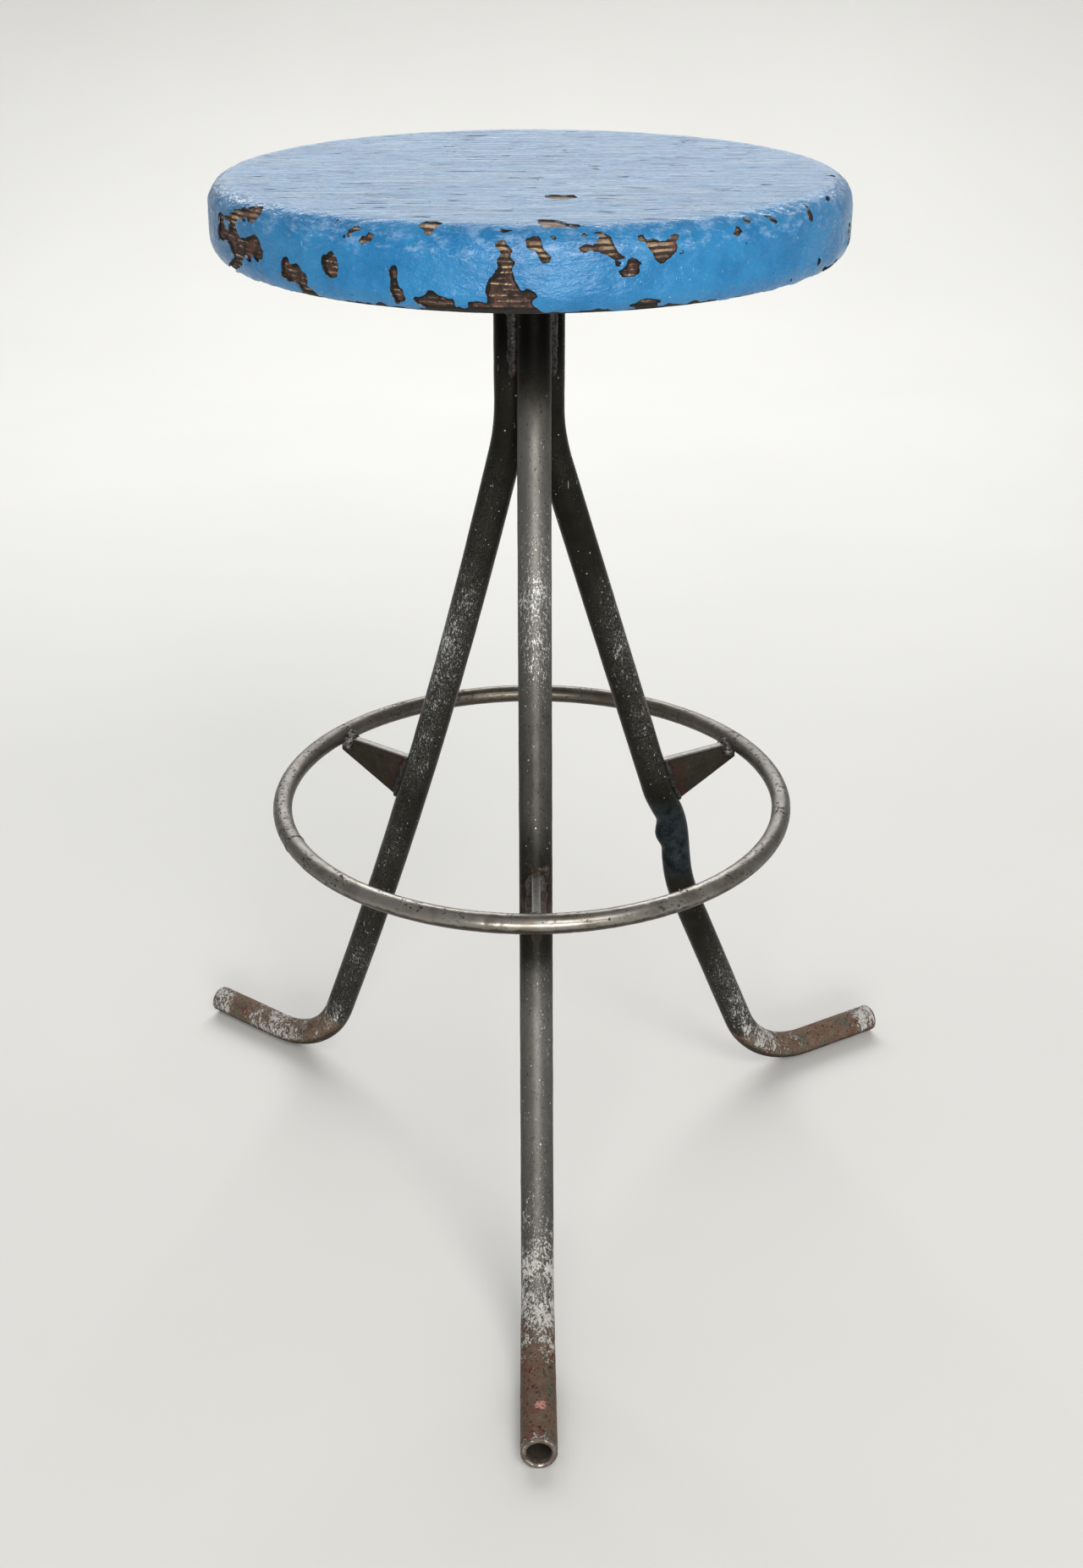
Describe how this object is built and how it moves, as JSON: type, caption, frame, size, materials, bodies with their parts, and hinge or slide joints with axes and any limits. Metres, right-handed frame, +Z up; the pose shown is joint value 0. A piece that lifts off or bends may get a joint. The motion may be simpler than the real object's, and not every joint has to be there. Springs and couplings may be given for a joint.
{
  "type": "bar stool",
  "caption": "Fixed-height workshop bar stool: thick round plywood seat on splayed bent-tube legs with turned-out open feet and a welded round-bar ring footrest.",
  "frame": {"origin": "point on the floor under the middle of the seat", "axes": "+Z up through the seat, front leg towards -Y, +X to the right seen from the front"},
  "size_m": [0.5197, 0.4767, 0.667],
  "materials": {
    "painted_plywood": "old gloss paint, chipped to the plies",
    "black_steel": "worn black lacquer",
    "zinc_steel": "dull zinc",
    "bare_steel": "bare, worn and pitted",
    "plate_steel": "mill scale and old lacquer",
    "weld_metal": "lumpy weld beads"
  },
  "bodies": {
    "root": {"seat_board": "painted_plywood", "seat_plate": "black_steel", "seat_screws": "zinc_steel", "seat_washers": "zinc_steel", "leg_front": "black_steel", "leg_rear_left": "black_steel", "leg_rear_right": "black_steel", "footrest_ring": "bare_steel", "footrest_ring_weld": "bare_steel", "bracket_front": "plate_steel", "bracket_rear_left": "plate_steel", "bracket_rear_right": "plate_steel", "bracket_leg_weld_front": "weld_metal", "bracket_leg_weld_rear_left": "weld_metal", "bracket_leg_weld_rear_right": "weld_metal", "bracket_ring_weld_front": "weld_metal", "bracket_ring_weld_rear_left": "weld_metal", "bracket_ring_weld_rear_right": "weld_metal", "seam_weld_front_left": "weld_metal", "seam_weld_front_right": "weld_metal", "seam_weld_rear": "weld_metal", "seat_plate_weld": "weld_metal"}
  },
  "joints": []
}
